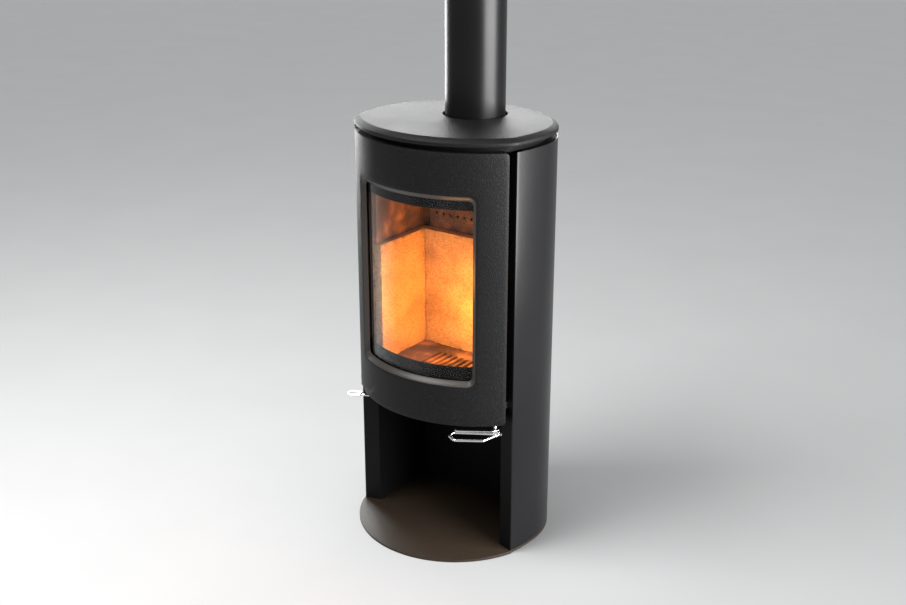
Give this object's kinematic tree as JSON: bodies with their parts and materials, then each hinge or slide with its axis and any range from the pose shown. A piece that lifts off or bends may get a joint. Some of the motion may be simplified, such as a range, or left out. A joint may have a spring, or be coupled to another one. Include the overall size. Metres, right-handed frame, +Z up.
{
  "type": "wood burning stove",
  "caption": "Free-standing oval wood stove with a curved cast door and window, a log store below the fire chamber, a chrome wire handle, a sliding air lever and a flue pipe on top.",
  "frame": {"origin": "on the floor, at the centre of the body's width and depth", "axes": "+Z up, -Y is the front with the door, +X is the viewer's right when facing the door"},
  "size_m": [0.503, 0.4854, 1.424],
  "materials": {
    "cast_black": "fine-grained satin stove paint on cast iron",
    "panel_black": "smooth satin stove paint on sheet steel",
    "pipe_black": "smooth satin stove paint on the flue pipe",
    "inner_black": "matte black paint on inner sheet",
    "bright_steel": "polished bright metal",
    "plain_steel": "plain zinc-grey steel",
    "chamber_iron": "bare iron, sooty and brown from the heat",
    "lining": "pressed vermiculite board, crumbly and sandy",
    "window": "clear curved ceramic glass",
    "rope": "braided glass-fibre rope",
    "brass": "turned brass"
  },
  "bodies": {
    "stove_body": {"base_plate": "panel_black", "side_panel_left": "panel_black", "side_panel_right": "panel_black", "rear_panel": "panel_black", "rear_shield": "plain_steel", "front_post_left": "inner_black", "front_post_right": "inner_black", "store_wall_left": "inner_black", "store_wall_right": "inner_black", "store_back": "inner_black", "hearth_deck": "inner_black", "firebox_side_left": "chamber_iron", "firebox_side_right": "chamber_iron", "firebox_back": "chamber_iron", "firebox_top": "chamber_iron", "front_frame": "inner_black", "top_deck": "inner_black", "top_ring": "inner_black", "top_plate": "cast_black", "flue_collar": "cast_black", "flue_seal": "rope", "flue_pipe": "pipe_black", "collar_bolts": "plain_steel", "brick_left": "lining", "brick_right": "lining", "brick_rear": "lining", "upper_wall_left": "chamber_iron", "upper_wall_right": "chamber_iron", "tertiary_air_duct": "chamber_iron", "baffle_plate": "lining", "smoke_deflector": "chamber_iron", "airwash_rail": "chamber_iron", "hearth_plate": "chamber_iron", "grate": "chamber_iron", "log_guard": "chamber_iron", "ash_pan": "plain_steel", "air_pivot_pin": "plain_steel", "hinge_bracket_upper": "inner_black", "hinge_bracket_lower": "inner_black", "hinge_pins": "plain_steel", "hinge_bush": "brass", "latch_keeper": "plain_steel", "panel_screws": "plain_steel"},
    "door": {"door_frame": "cast_black", "door_glass": "window", "glass_seal": "rope", "glass_retainer": "inner_black", "retainer_screws": "plain_steel", "door_seal": "rope", "latch_guide": "plain_steel"},
    "door_handle": {"handle_loop": "bright_steel", "handle_bracket": "bright_steel", "latch_rod": "plain_steel", "latch_pawl": "plain_steel", "rod_clip": "plain_steel"},
    "air_control": {"air_lever": "bright_steel", "air_valve_plate": "plain_steel"}
  },
  "joints": [
    {"name": "door_hinge", "type": "hinge", "parent": "stove_body", "child": "door", "pos_m": [-0.23, -0.105, 0.36], "axis": [0, 0, 1], "range_deg": [-100, 0]},
    {"name": "handle_turn", "type": "hinge", "parent": "door", "child": "door_handle", "pos_m": [0.19932, -0.11908, 0.345], "axis": [0, 0, 1], "range_deg": [0, 35]},
    {"name": "air_lever_swing", "type": "hinge", "parent": "stove_body", "child": "air_control", "pos_m": [-0.06, 0.02, 0.35], "axis": [0, 0, 1], "range_deg": [0, 30]}
  ]
}
